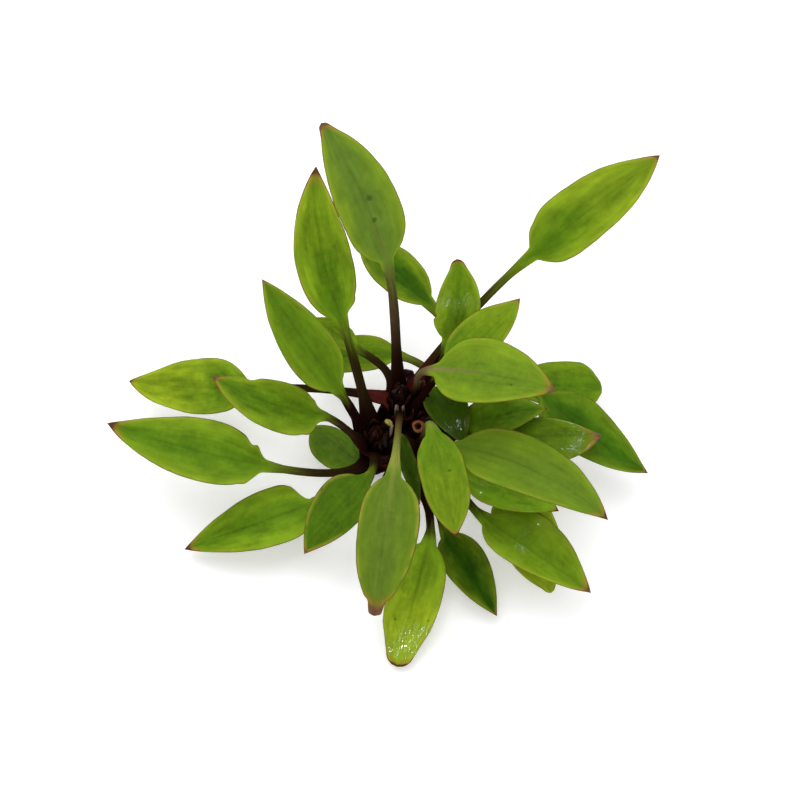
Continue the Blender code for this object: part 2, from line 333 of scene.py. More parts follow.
stations = {name: stations_of(name) for name in LEAF_NAMES}
print(f"{sum(len(found) for found in stations.values())} stations on {len(stations)} leaves")

# %% [markdown]
# ## A tree that grows a leaf
#
# Thirty leaves share one rule, so one Geometry Nodes tree grows them all. It draws a smooth line through the
# stations, sweeps a ring of points along it, and then puts each point where the formula says: round a petiole, and
# over and under a thin blade with a midrib, veins and a wavy margin. Changing an input changes every leaf.

# %% Helpers for Geometry Nodes
INPUT_KINDS = {int: "NodeSocketInt", float: "NodeSocketFloat", type(None): "NodeSocketMaterial"}


def new_tree(name, inputs):
    """A Geometry Nodes tree with named inputs, and those inputs as Fields."""
    tree = bpy.data.node_groups.new(name, "GeometryNodeTree")
    tree.interface.new_socket("Geometry", in_out="INPUT", socket_type="NodeSocketGeometry")
    for label, value in inputs.items():
        socket = tree.interface.new_socket(label, in_out="INPUT", socket_type=INPUT_KINDS[type(value)])
        if value is not None:
            socket.default_value = value
    tree.interface.new_socket("Geometry", in_out="OUTPUT", socket_type="NodeSocketGeometry")
    given = tree.nodes.new("NodeGroupInput")
    return tree, {output.name: Field(output) for output in given.outputs}


def end_tree(tree, geometry, material):
    """Ends a tree with real geometry and its material."""
    realized = field(tree, "GeometryNodeRealizeInstances", {0: geometry})
    finished = field(tree, "GeometryNodeSetMaterial", {0: realized, "Material": material})
    node(tree, "NodeGroupOutput", {0: finished})


def stored(tree, geometry, name, value, kind="FLOAT"):
    """A geometry with a value stored on its points."""
    inputs = {"Geometry": geometry, "Name": name, "Value": value}
    return field(tree, "GeometryNodeStoreNamedAttribute", inputs, data_type=kind)


def read(tree, name, kind="FLOAT"):
    """A value stored on the points."""
    return field(tree, "GeometryNodeInputNamedAttribute", {"Name": name}, data_type=kind)


def grown(name, start, tree, inputs):
    """The object that a tree grows from a starting mesh, as a plain mesh with no modifier."""
    made = bpy.data.objects.new(name, start)
    bpy.context.scene.collection.objects.link(made)
    modifier = made.modifiers.new("grown", "NODES")
    modifier.node_group = tree
    for item in tree.interface.items_tree:
        if item.in_out == "INPUT" and item.name in inputs:
            modifier[item.identifier] = inputs[item.name]
    graph = bpy.context.evaluated_depsgraph_get()
    mesh = bpy.data.meshes.new_from_object(made.evaluated_get(graph), preserve_all_data_layers=True, depsgraph=graph)
    made.modifiers.clear()
    made.data = mesh
    mesh.name = name
    return made


# %% The leaf tree's inputs, and its line through the stations
LEAF_INPUTS = {
    "Rows": 190,
    "Points Round": 56,
    "Sheet": 0.17 * MM,
    "Midrib": 0.62 * MM,
    "Groove": 0.1 * MM,
    "Vein Relief": 0.025 * MM,
    "Wave": 0.45 * MM,
    "Flare": 0.3 * MM,
    "Stalk": 1.0,
    "Clasp": 1.25,
    "Clasp From": -0.75,
    "Clasp Over": 0.8,
    "Clasp Thickness": 0.5 * MM,
    "Seed": 0.0,
    "Left Dent At": 0.06,
    "Left Dent Depth": 0.0,
    "Right Dent At": 0.06,
    "Right Dent Depth": 0.0,
    "Dent Length": 0.05,
    "Shoulder At": 0.05,
    "Right Shoulder": 0.0,
    "Nib": 0.0,
    "Lobe": 0.0,
    "Lobe At": 0.95,
    "Lobe Taper": 10 * MM,
    "Material": None,
}
leaf_tree, given = new_tree("leaf", LEAF_INPUTS)
line = field(leaf_tree, "GeometryNodeMeshToCurve", {"Mesh": given["Geometry"]})
line = field(leaf_tree, "GeometryNodeCurveSplineType", {0: line}, spline_type="CATMULL_ROM")
line = field(leaf_tree, "GeometryNodeResampleCurve", {0: line, "Count": given["Rows"]})
line = stored(leaf_tree, line, "middle", field(leaf_tree, "GeometryNodeInputPosition"), "FLOAT_VECTOR")

# %% [markdown]
# The swept ring only has to carry one number round the leaf, its turn. It starts at the left margin, passes over the
# top at a quarter, reaches the right margin at a half and comes back underneath.

# %% A ring swept along the line
ring = field(leaf_tree, "GeometryNodeCurvePrimitiveCircle", {"Resolution": given["Points Round"]})
ring = stored(leaf_tree, ring, "turn", field(leaf_tree, "GeometryNodeSplineParameter", output="Factor"))
sweep = {"Curve": line, "Profile Curve": ring, "Fill Caps": True}
tube = field(leaf_tree, "GeometryNodeCurveToMesh", sweep)
turn, half_thickness, blade, hug = (read(leaf_tree, label) for label in ("turn", "half_thickness", "blade", "hug"))
arrows = (read(leaf_tree, label, "FLOAT_VECTOR") for label in ("middle", "to_left", "to_right", "face"))
middle, to_left, to_right, face = arrows
face = vector("NORMALIZE", face)

# %% [markdown]
# Places along a leaf are given by `blade`: 0 at the neck, 1 at the tip, -1 at the root, and less than that in the
# sheath under it. The petiole broadens where it enters the blade, and again under its root, where it clasps the shoot
# as a sheath. There it is as wide as an arc round the shoot: its distance from the axis times an angle. `Stalk` makes
# a petiole thicker or thinner than its solid. A few blades end in a rounded lobe, and the wider of blade and lobe
# counts.

# %% Widths along the leaf
FLARE_RISES, FLARE_FALLS = (-0.17, 0.0), (0.14, 0.02)
STALK_BEGINS = (-0.1, -0.4)
LOBE_BEGINS = (0.5, 0.7)
LOBE_BLEND = 0.3 * MM
NIB_AT, NIB_LENGTH = 0.92, 0.06
solid_width = vector("LENGTH", vector("SUBTRACT", to_left, to_right), output="Value") * 0.5
flare = given["Flare"] * step(blade, *FLARE_RISES) * step(blade, *FLARE_FALLS)
clasp = step(blade, given["Clasp From"], given["Clasp From"] - given["Clasp Over"])
stalk = mixed(step(blade, *STALK_BEGINS), 1, given["Stalk"])
half_thickness = half_thickness * stalk
past = maths("MINIMUM", maths("MAXIMUM", (blade - given["Lobe At"]) / (1 - given["Lobe At"]), 0), 1)
lobe = given["Lobe"] * maths("SQRT", 1 - past * past) + given["Lobe Taper"] * (1 - blade)
lobe = lobe * step(blade, *LOBE_BEGINS) * maths("GREATER_THAN", given["Lobe"], 0)
pinched = (solid_width * stalk + flare) * (1 - bump_at(blade, NIB_AT, NIB_LENGTH) * given["Nib"])
half_width = maths("SMOOTH_MAX", pinched, lobe, LOBE_BLEND)
half_width = mixed(clasp, half_width, hug * given["Clasp"])

# %% [markdown]
# A petiole is round and a blade is flat, so each point's place across the leaf is a cosine on the one and an even
# spread on the other. How flat the leaf is follows from its width against its thickness.

# %% Across the leaf
FLAT_FROM, FLAT_AT = 1.5, 4.5
flat = step(half_width / half_thickness, FLAT_FROM, FLAT_AT)
angle = turn * (2 * math.pi)
even = abs(turn * 4 - 2) - 1
across = mixed(flat, maths("COSINE", angle), even)
out = abs(across)
leftward, rightward = maths("MAXIMUM", across, 0), maths("MAXIMUM", -across, 0)
upper = maths("LESS_THAN", turn, 0.5) * 2 - 1
reach = vector("ADD", scaled(to_left, leftward), scaled(to_right, rightward))
reach = scaled(reach, half_width / solid_width)
rise = vector("DOT_PRODUCT", reach, face, output="Value")
reach = vector("SUBTRACT", reach, scaled(face, rise))

# %% [markdown]
# The blade dips gently from its margins to its midrib. Its margin waves a little, and a few leaves have a dent or an
# abrupt shoulder where the real one does. Noise is sampled at each point's own place, so no two leaves wave alike.

# %% Margin, waves and dents
CUP = 0.6
WAVE_SCALE = 75
WAVE_INSIDE = 0.2
UNEVEN = 0.05
UNEVEN_SCALE = 110
TORN = 0.25
SHOULDER_LENGTH = 0.05
SHOULDER_LEVEL = SHOULDER_LENGTH * 0.25
BLADE_BEGINS = (0.0, 0.2)


def dent_on(side):
    """How deep the dent on one side is."""
    return bump_at(blade, given[f"{side} Dent At"], given["Dent Length"]) * given[f"{side} Dent Depth"]


spot = vector("ADD", vector("ADD", middle, reach), given["Seed"])
on_blade = step(blade, *BLADE_BEGINS)
shoulder = step(abs(blade - given["Shoulder At"]), SHOULDER_LENGTH, SHOULDER_LEVEL) * given["Right Shoulder"]
dent = dent_on("Left") * leftward + (dent_on("Right") - shoulder) * rightward
uneven = noise_at(spot, UNEVEN_SCALE, 1.0) * (on_blade * UNEVEN + clasp * TORN)
reach = scaled(reach, 1 - dent + uneven)
wave = noise_at(spot, WAVE_SCALE, 1.0) * (WAVE_INSIDE + out * out) * given["Wave"] * on_blade
lift = rise * out**CUP + wave

# %% [markdown]
# Under the root, the sheet is bent into an arc: what was a straight way out from its middle becomes a sine out and
# the rest of a cosine inwards, round the shoot.

# %% The sheath's arc
LEAST_BEND = 0.001
beside = out * half_width
bend = maths("MAXIMUM", out * clasp * given["Clasp"], LEAST_BEND)
reach = scaled(reach, maths("SINE", bend) / bend)
lift = lift + beside * (1 - maths("COSINE", bend)) / bend

# %% [markdown]
# Through the blade, the sheet is thin and rounded off at the margin. The midrib stands out underneath, strong at
# the neck, where it takes over from the petiole, and faint near the tip. Veins arch from neck to tip beside it: they
# lie at fixed shares of the width, which the blade's own outline bends into arcs.

# %% Thickness, midrib and veins
MARGIN_POWER = 8
TAPERED = 1.5 * MM
RIB_FADES, RIB_HEIGHTS, RIB_REACHES = (0, 0.9), (1, 0.15), (1.3 * MM, 0.6 * MM)
HILL_HEIGHT, HILL_LENGTH, HILL_REACH = 0.5 * MM, 0.16, 1.4 * MM
GROOVE_BEGINS, GROOVE_REACH = (0.02, 0.15), 0.7 * MM
VEINS_EACH_SIDE = 4
VEIN_SHARPNESS = 4
VEINS_BEGIN = (1 * MM, 4 * MM)


def veins(out, sharpness):
    """1 on each vein and 0 between veins."""
    return (maths("COSINE", out * (2 * math.pi * VEINS_EACH_SIDE)) * 0.5 + 0.5) ** sharpness


sheet = given["Sheet"] * maths("SQRT", 1 - out**MARGIN_POWER) * step(half_width, 0, TAPERED)
sheet = sheet + given["Clasp Thickness"] * clasp * (1 - out * out)
rib = given["Midrib"] * mixed(step(blade, *RIB_FADES), *RIB_HEIGHTS) * step(beside, mixed(blade, *RIB_REACHES), 0)
neck_hill = HILL_HEIGHT * step(blade, HILL_LENGTH, 0) * step(beside, HILL_REACH, 0)
groove = given["Groove"] * step(beside, GROOVE_REACH, 0) * step(blade, *GROOVE_BEGINS)
vein = veins(out, VEIN_SHARPNESS) * given["Vein Relief"] * step(half_width, *VEINS_BEGIN)
over = sheet + neck_hill - groove - vein
under = sheet + rib + vein
blade_lift = lift + mixed(upper * 0.5 + 0.5, -under, over)
lifted = mixed(flat, half_thickness * maths("SINE", angle), blade_lift)

# %% The leaf put together
placed = vector("ADD", vector("ADD", middle, reach), scaled(face, lifted))
leaf = field(leaf_tree, "GeometryNodeSetPosition", {0: tube, "Position": placed})
kept = {"across": across, "upper": upper, "beside": beside / MM, "edge": (half_width - beside) / MM}
for label, value in kept.items():
    leaf = stored(leaf_tree, leaf, label, value)
leaf = field(leaf_tree, "GeometryNodeMergeByDistance", {0: leaf, "Distance": WELD})
leaf = field(leaf_tree, "GeometryNodeSetShadeSmooth", {0: leaf})
end_tree(leaf_tree, leaf, given["Material"])
print(f"the leaf tree has {len(leaf_tree.nodes)} nodes")

# %% [markdown]
# ## Thirty characters
#
# The real leaves differ in age and light. Old ones are dark and wet, young ones yellow-green, some have a greyish
# painted sheen, and the petioles run from olive to maroon. Each leaf gets a few numbers for this, where it isn't like
# the usual one. They travel with the stations as attributes, so that one material can read them on every leaf.

# %% How each leaf looks
USUAL_LOOK = {
    "light": 1,
    "yellow": 0,
    "grey": 0,
    "band": 0.65,
    "rim": 0.6,
    "brown_tip": 0.03,
    "pale_tip": 0,
    "maroon": 0.75,
    "wet": 0.1,
    "streaks": 0.3,
    "pink": 0,
    "red": 0,
    "pale": 0,
    "deep": 0,
    "specks": 0.3,
    "wet_at": 0.5,
    "uneven": 1,
}
Look = namedtuple("Look", USUAL_LOOK, defaults=USUAL_LOOK.values())
LOOKS = {
    "tall_back": Look(
        light=0.97, grey=0.55, band=0.7, brown_tip=0.025, pale_tip=0.6, maroon=0.85, pink=0.4, uneven=0.55
    ),
    "tall_left": Look(light=0.94, yellow=0.2, rim=1, brown_tip=0.06, maroon=0.7, streaks=1, deep=0.15),
    "upper_left": Look(light=0.74, band=0.5, brown_tip=0.015, maroon=1.3, streaks=0.6, deep=0.25, uneven=0.8),
    "back_hidden": Look(light=0.8, band=1),
    "back_small": Look(light=0.98, band=0.55, brown_tip=0.02, maroon=1.8, wet=0.62, red=0.6),
    "back_pointed": Look(
        light=0.78, yellow=0.3, band=0, rim=0.9, brown_tip=0.035, pale_tip=0.4, maroon=1.6, deep=0.7, uneven=0.8
    ),
    "centre_right": Look(
        light=0.9, grey=0.2, band=0.4, brown_tip=0.05, pale_tip=0.7, maroon=0.3, pink=0.9, uneven=0.7
    ),
    "far_right_up": Look(light=0.92, yellow=0.25, band=0.75, pale_tip=0.4, maroon=0.3, red=0.7, uneven=0.75),
    "far_left_back": Look(yellow=0.35, band=0.75, brown_tip=0.025, red=0.9),
    "left_middle": Look(light=0.85, brown_tip=0.05, pale_tip=0.6),
    "far_left": Look(light=0.92, band=0.7, rim=0.8, brown_tip=0.055, deep=0.1, uneven=0.85),
    "low_left": Look(light=0.98, band=0.6, brown_tip=0.05, deep=0.1),
    "low_left_inner": Look(light=0.49, band=0.15, rim=0.9, brown_tip=0.035, pale_tip=0.5, streaks=0.8, deep=0.7),
    "left_under": Look(light=0.94, grey=0.5, band=0.05, deep=0.6),
    "front": Look(
        light=0.7, grey=0.5, band=0.15, rim=1, brown_tip=0.065,
        pale_tip=0.6, maroon=0, pale=0.8, deep=0.2, uneven=0.65,
    ),
    "front_low": Look(
        light=1.15, yellow=0.4, band=0.15, brown_tip=0.02, maroon=1.8, wet=0.9, deep=0.2, specks=1, wet_at=0.8
    ),
    "front_dark": Look(light=0.51, band=1, rim=0.3, brown_tip=0.02, maroon=1.8),
    "front_light": Look(light=0.73, yellow=0.25, band=0, brown_tip=0.02, maroon=0, pale=0.3, deep=0.5, uneven=0.8),
    "right_large": Look(light=0.8, grey=0.3, band=0.25, deep=0.15, uneven=0.65),
    "right_under": Look(light=1.6, band=0, wet=0.6, deep=0.4, wet_at=0.2),
    "low_right": Look(
        light=0.97, band=0.45, brown_tip=0.045, pale_tip=0.7,
        maroon=1.2, wet=0.6, specks=0.6, wet_at=0.35, uneven=0.8,
    ),
    "low_right_under": Look(light=1.2, yellow=0.4, band=0.2, brown_tip=0),
    "far_right": Look(light=0.71, band=1, rim=0.3, brown_tip=0.02, wet=0.5, deep=0.35, wet_at=0.88),
    "right_back": Look(light=0.86, band=0.55, rim=0.2, brown_tip=0, deep=0.2),
    "right_middle": Look(
        light=0.62, yellow=0.15, band=0.3, brown_tip=0.07, pale_tip=1, wet=0.6, streaks=0.9, deep=0.6, wet_at=0.78
    ),
    "right_dark": Look(light=0.72, band=0.6, rim=0.2, brown_tip=0.02, wet=0.8, deep=0.3, wet_at=0.3),
    "centre_dark": Look(light=0.26, band=0.1, rim=0.2, wet=0.68, deep=0.8, wet_at=0.7),
    # Deep in the crown, this leaf's low light is partly its own dark green and partly painted shade.
    "centre_narrow": Look(light=0.2, band=0, rim=0.2, wet=0, deep=0.8),
    "back_left": Look(light=1.02, band=0.6, maroon=0.1, pale=0.2),
    "back_shaded": Look(light=1.15, band=0.2, rim=0.2),
}
MARK_LABELS = ("first_mark", "second_mark")
NO_MARK = (0.5, 0, 0)
BLADE_MM = 40
MARKS = {
    "front_low": ((0.66, -0.5, 0.5), (0.62, 0.75, 0.5)),
    "tall_back": ((0.44, -0.15, 1.1), (0.3, -0.05, 0.9)),
    "front_light": ((0.4, 0.3, 0.7),),
    "centre_right": ((0.66, -0.25, 0.6),),
}

# %% [markdown]
# ## Down into the crown
#
# A petiole's solid ends at the skin of its shoot. The living one goes on: it broadens into a sheath that clasps the
# shoot and grows out of it further down. Younger leaves start higher up and closer to the axis, so their sheaths lie
# inside those of older leaves. Each guide line therefore starts with a few stations under the leaf's root.

# %% Stations under the root
Shoot = namedtuple("Shoot", "foot top foot_radius top_radius")
SHOOTS = (
    Shoot(Vector((-0.2, 0.6, 0)) * MM, Vector((0.3, 2.0, 19)) * MM, 4.2 * MM, 2.0 * MM),
    Shoot(Vector((-5.3, -5.8, 0)) * MM, Vector((-6.0, -7.0, 14)) * MM, 4.0 * MM, 2.3 * MM),
    Shoot(Vector((5.8, -5.2, 0)) * MM, Vector((6.3, -6.0, 17)) * MM, 4.2 * MM, 2.3 * MM),
)
SHEATH_LENGTH = 8.5 * MM
SHEATH_SHARES = (1, 0.65, 0.3)
LOWEST = 1.3 * MM


def way_in(place):
    """The level way from a place to the axis of the nearest shoot."""
    ways = [shoot.foot.lerp(shoot.top, place.z / shoot.top.z) - place for shoot in SHOOTS]
    return min(ways, key=lambda way: way.length)


def sheath_under(root):
    """The stations of a leaf's sheath, from its lowest end up to the leaf's root."""
    inward = way_in(root.middle).normalized()
    left = inward.cross(UP) * root.to_left.length
    drop = min(SHEATH_LENGTH, root.middle.z - LOWEST)
    below = [root.middle - UP * drop * share for share in SHEATH_SHARES]
    return [Station(middle, left, -left, inward, root.half_thickness) for middle in below]


# %% A leaf's guide
NECK = 6
SEED_STEP = 7.3


def write_points(mesh, label, values):
    """Stores values on a mesh's points: a number for each, or three numbers for a vector."""
    kind, part = ("FLOAT_VECTOR", "vector") if len(values) > len(mesh.vertices) else ("FLOAT", "value")
    mesh.attributes.new(label, kind, "POINT").data.foreach_set(part, values)


def guide_of(name):
    """A leaf's stations as a mesh of edges that carries everything the tree and the material read."""
    found = stations[f"leaf_{name}"]
    reached = [0]
    for one, other in zip(found, found[1:]):
        reached.append(reached[-1] + (other.middle - one.middle).length)
    neck = reached[NECK]
    shares = [(at - neck) / (reached[-1] - neck if at > neck else neck) for at in reached]
    shares = [-1 - share for share in SHEATH_SHARES] + shares
    hug = way_in(found[0].middle).length
    found = sheath_under(found[0]) + found
    mesh = bpy.data.meshes.new(name)
    mesh.from_pydata([station.middle for station in found], [(i, i + 1) for i in range(len(found) - 1)], [])
    for label in ("to_left", "to_right", "face"):
        write_points(mesh, label, [part for station in found for part in getattr(station, label)])
    write_points(mesh, "half_thickness", [station.half_thickness for station in found])
    write_points(mesh, "blade", shares)
    same_all_along = {"seed": SEED_STEP * list(LOOKS).index(name), "hug": hug, **LOOKS[name]._asdict()}
    for label, value in same_all_along.items():
        write_points(mesh, label, [value] * len(found))
    for label, mark in zip(MARK_LABELS, MARKS.get(name, ()) + (NO_MARK, NO_MARK)):
        write_points(mesh, label, mark * len(found))
    return mesh


# %% [markdown]
# ## Leaf green
#
# A living blade isn't one green. It has a darker band along the midrib and yellower margins, soft blotches, faint
# streaks along the veins and fine wrinkles across them. The patches, streaks and wrinkles are the same noise as the
# bump's relief, so their light and dark is partly the leaf's own colour and partly painted shade and light of that
# relief, and a strip of painted shade lies in the groove along the midrib. All of it is worked out from where a point
# lies on its leaf, so the pattern follows each leaf's own outline: noise that is stretched along the blade turns into
# streaks that run together at the tip.

# %% Helpers for materials
def attribute(tree, name, output="Fac"):
    """A value stored on the piece."""
    return field(tree, "ShaderNodeAttribute", output=output, attribute_name=name)


def tinted(share, first, second):
    """From the first colour at 0 to the second at 1."""
    made = node(share.socket.id_data, "ShaderNodeMix", data_type="RGBA")
    for socket, value in zip((made.inputs[0], made.inputs[6], made.inputs[7]), (share, first, second)):
        put(socket, value if isinstance(value, Field) else (*value, 1))
    return Field(made.outputs[2])


def grain(tree, scale, detail=2.0):
    """Noise from -1 to 1 in the piece's own coordinates, with its size in features per metre."""
    return noise_at(field(tree, "ShaderNodeTexCoord", output="Object"), scale, detail)


def bumped(height, strength, distance):
    """The normal of a surface with relief."""
    inputs = {"Strength": strength, "Distance": distance, "Height": height}
    return field(tree_of([height]), "ShaderNodeBump", inputs)


# %% Where a point lies on its leaf
leaf_finish, tree, shader = new_finish(
    "living_leaf", Specular_IOR_Level=0.01, Coat_Roughness=0.07, Coat_IOR=1.45
)
look = {label: attribute(tree, label) for label in USUAL_LOOK}
places = (attribute(tree, label) for label in ("blade", "across", "upper", "seed", "beside", "edge"))
blade, across, upper, seed, beside, edge = places
out = abs(across)


def leaf_grain(along, around, detail=2.0):
    """Noise from -1 to 1 in the leaf's own coordinates, in features per blade length and per half width."""
    spot = field(tree, "ShaderNodeCombineXYZ", {0: blade * along, 1: across * around, 2: seed})
    return noise_at(spot, 1.0, detail)


blotch = leaf_grain(5, 2.2)
patch = leaf_grain(10, 5, 3.0)
streak = leaf_grain(4, 13)
wrinkle = leaf_grain(34, 5, 3.0)
fine = grain(tree, 900, 3.0)

# %% Green of the blade
CENTRE_GREEN = (0.04, 0.125, 0.003)
MARGIN_GREEN = (0.19, 0.3, 0.012)
DEEP_GREEN = (0.1, 0.25, 0.009)
YELLOW_GREEN = (0.34, 0.4, 0.016)
SHEEN_SAGE = (0.13, 0.2, 0.035)
BAND_BLUR, BAND_TO_MARGIN = (0.35, 0.2), (0.1, 1.0)
YELLOW_BEGINS = (0.1, 0.7)
SHEEN_AT_MARGIN = 0.4
VEIN_LINE_SHARPNESS, VEIN_SHADE = 12, 0.06
VEIN_LINES_BEGIN, VEIN_LINES_INSIDE = (0.02, 0.15), (0.3, 1.5)
NEAR_MIDRIB, OFF_MARGIN = (0.7, 0.1), (0.95, 0.4)
STREAKS_BEGIN, STREAKS_END, STREAK_SHADE = (0.0, 0.25), (0.95, 0.6), 0.4
BLADE_ENDS = (1.0, 0.7)
BLOTCHES, PATCHES, STREAKS, SPECKLES, RIPPLES = 0.38, 0.3, 0.14, 0.1, 0.25
RIB_SIDES, RIB_ENDS, RIB_SHADE = (0.6, 0.2), (0.95, 0.5), 0.12

band_blur = mixed(step(blade, 0.0, 0.9), *BAND_BLUR)
margin_share = step(out + blotch * band_blur, *BAND_TO_MARGIN)
green = tinted(margin_share, tinted(look["band"], MARGIN_GREEN, CENTRE_GREEN), MARGIN_GREEN)
green = tinted(look["deep"], green, DEEP_GREEN)
green = tinted(look["yellow"] * step(blade + blotch * 0.3, *YELLOW_BEGINS), green, YELLOW_GREEN)
# Painted sheen: greyish green, strongest near the midrib, where the real blade mirrors its bright surroundings.
green = tinted(look["grey"] * mixed(margin_share, 1, SHEEN_AT_MARGIN), green, SHEEN_SAGE)
vein_line = veins(out, VEIN_LINE_SHARPNESS) * step(blade, *VEIN_LINES_BEGIN) * step(edge, *VEIN_LINES_INSIDE)
streaked = step(out, *NEAR_MIDRIB) * step(blade, *STREAKS_BEGIN) * step(blade, *STREAKS_END)
rippled = step(out, *OFF_MARGIN) * step(blade, *BLADE_BEGINS) * step(blade, *BLADE_ENDS)
dark_streak = step(streak, 0.15, 0.7) * streaked
# Painted shade in the groove along the midrib.
rib_shade = step(beside, *RIB_SIDES) * step(blade, *RIB_ENDS) * step(blade, *BLADE_BEGINS)
# Partly the leaf's own mottling, partly painted shade and light of the relief that the same noise makes below.
mottle_and_shade = blotch * BLOTCHES + patch * PATCHES + streak * STREAKS + fine * SPECKLES + wrinkle * rippled * RIPPLES
light = 1 + mottle_and_shade * look["uneven"] - vein_line * VEIN_SHADE
light = light - dark_streak * look["streaks"] * STREAK_SHADE - rib_shade * RIB_SHADE
green = scaled(green, look["light"] * light)

# %% [markdown]
# The petiole runs from green through olive to maroon, and the midrib carries its colour a little way into the blade.
# Round the margin goes a rim as thin as a hair where the green has turned to yellow and then to reddish brown, and
# at the tip it has died back altogether. The underside is paler. Noise is added to a place before it is compared, so
# that no border between two colours is a clean line.

# %% Underside, petiole, rim and tip
RIM_YELLOW = (0.42, 0.38, 0.05)
RIM_BROWN = (0.2, 0.075, 0.02)
TIP_BROWN = (0.1, 0.035, 0.014)
TIP_PALE = (0.2, 0.11, 0.06)
TIP_RUST = (0.27, 0.11, 0.02)
PETIOLE_GREEN = (0.11, 0.17, 0.008)
PETIOLE_MAROON = (0.013, 0.003, 0.002)
PETIOLE_OLIVE = (0.05, 0.042, 0.006)
PETIOLE_TAN = (0.12, 0.08, 0.04)
PETIOLE_PALE = (0.24, 0.27, 0.05)
PETIOLE_FOOT = (0.09, 0.06, 0.015)
MIDRIB_PINK = (0.24, 0.16, 0.08)
SHEATH_RED = (0.07, 0.01, 0.006)
UNDERSIDE = (0.2, 0.28, 0.05)

TO_UNDERSIDE, UNDERSIDE_SHARE = (0.2, -0.2), 0.6
RIB_WIDTHS, RIB_COLOUR_ENDS = (1.1, 0.2), (0.6, 0.0)
RIB_PINK, RIB_PALE, RIB_GREEN = 0.5, 0.4, 0.18
TO_OLIVE, TO_MAROON, TO_PALE_FOOT = (-0.05, -0.4), (0.05, -0.5), (0.0, -0.7)
TAN_SIDE, TAN_SHARE = (0.2, 0.9), 0.25
DARK_FOOT, RED_FOOT, SHEATH_BEGINS = (-0.55, -0.95), (-0.7, -0.9), (-0.9, -1.3)
PINK_ABOVE = (-0.75, -0.35)
TO_PETIOLE = (0.02, -0.1)
RIM_BEGINS, RIM_GAPS = (0.02, 0.12), (-0.35, 0.25)
YELLOW_RIM_SHARE, RUST_SHARE = 0.45, 0.4
BROWN_RIM_WIDTHS = (0.25, 0.5)

green = tinted(step(upper, *TO_UNDERSIDE) * UNDERSIDE_SHARE, green, UNDERSIDE)
rib_width = mixed(maths("MAXIMUM", blade, 0), *RIB_WIDTHS)
rib_line = step(beside, rib_width, 0.1) * step(blade, *RIB_COLOUR_ENDS)
olive = tinted(step(blade + blotch * 0.15, *TO_OLIVE), PETIOLE_GREEN, PETIOLE_OLIVE)
olive = tinted(step(across * upper + streak * 0.5, *TAN_SIDE) * TAN_SHARE, olive, PETIOLE_TAN)
olive = tinted(look["pale"], olive, tinted(step(blade, *TO_PALE_FOOT), PETIOLE_PALE, PETIOLE_FOOT))
petiole = tinted(look["maroon"] * step(blade + blotch * 0.2, *TO_MAROON), olive, PETIOLE_MAROON)
petiole = tinted(step(blade + blotch * 0.1, *DARK_FOOT), petiole, PETIOLE_MAROON)
petiole = tinted(look["pink"] * step(blade, *PINK_ABOVE), petiole, PETIOLE_TAN)
petiole = tinted(step(blade, *SHEATH_BEGINS) * step(out + streak * 0.4, 0.5, 1.1), petiole, SHEATH_RED)
petiole = tinted(look["red"] * step(blade + streak * 0.1, *RED_FOOT), petiole, SHEATH_RED)
petiole = scaled(petiole, 1 + streak * 0.5 + patch * 0.3 + fine * 0.2)
rib_colour = tinted(look["pink"], tinted(look["pale"], PETIOLE_GREEN, PETIOLE_PALE), MIDRIB_PINK)
colour = tinted(rib_line * (look["pink"] * RIB_PINK + look["pale"] * RIB_PALE + RIB_GREEN), green, rib_colour)
colour = tinted(step(blade + fine * 0.01 + streak * 0.02, *TO_PETIOLE), colour, petiole)
ragged = streak * 0.25 + fine * 0.15
tip = look["brown_tip"]
near_tip = step(blade + out * 0.06 + ragged * 0.06, 1 - tip * 2.2, 1 - tip * 0.9)
rim_at = step(blade, *RIM_BEGINS) * look["rim"] * step(leaf_grain(7, 1.0), *RIM_GAPS) + near_tip * 0.5
colour = tinted(step(edge + blotch * 0.4, 1.4, 0.1) * rim_at * YELLOW_RIM_SHARE, colour, RIM_YELLOW)
colour = tinted(near_tip * RUST_SHARE, colour, TIP_RUST)
rim_width = mixed(step(blade, 0.5, 0.95), *BROWN_RIM_WIDTHS)
colour = tinted(step(edge + blotch * 0.15 + fine * 0.08, rim_width, 0.08) * rim_at, colour, RIM_BROWN)
dead = step(blade + out * 0.02 + ragged * 0.05, 1 - tip * 1.3, 1 - tip * 0.6)
colour = tinted(dead, colour, tinted(look["pale_tip"] * step(fine + streak, -0.6, 0.2), TIP_BROWN, TIP_PALE))

# %% [markdown]
# Old leaves carry small marks, dark ones where a snail or a stone has bruised them. Each is a spot at its own share
# of the blade, its own way across it and its own size.

# %% Marks
DARK_MARK = (0.022, 0.03, 0.008)
MARK_SHARE, MARK_CORE = 0.6, 0.3
SPECKS_ABOVE, SPECKS_BEGIN = (0.66, 0.78), (0.05, 0.2)
specks = step(leaf_grain(26, 9, 1.0), *SPECKS_ABOVE) * step(blade, *SPECKS_BEGIN) * look["specks"]
colour = tinted(specks, colour, DARK_MARK)
for label in MARK_LABELS:
    mark = node(tree, "ShaderNodeSeparateXYZ", {0: attribute(tree, label, "Vector")})
    share_along, share_across, size = (Field(output) for output in mark.outputs)
    along = (blade - share_along) * BLADE_MM
    aside = (across - share_across) * (beside + edge)
    away = maths("SQRT", along * along + aside * aside) + fine * 0.3
    marked = step(away, size, size * MARK_CORE) * step(upper, -0.2, 0.2) * maths("GREATER_THAN", size, 0.01)
    colour = tinted(marked * MARK_SHARE, colour, DARK_MARK)
put(shader.inputs["Base Color"], colour)

# %% [markdown]
# The plant has just been lifted out of water, so some leaves are still wet. The film is a clear coat in patches, and
# where it is thick it lies in beads whose slopes catch the lamp.

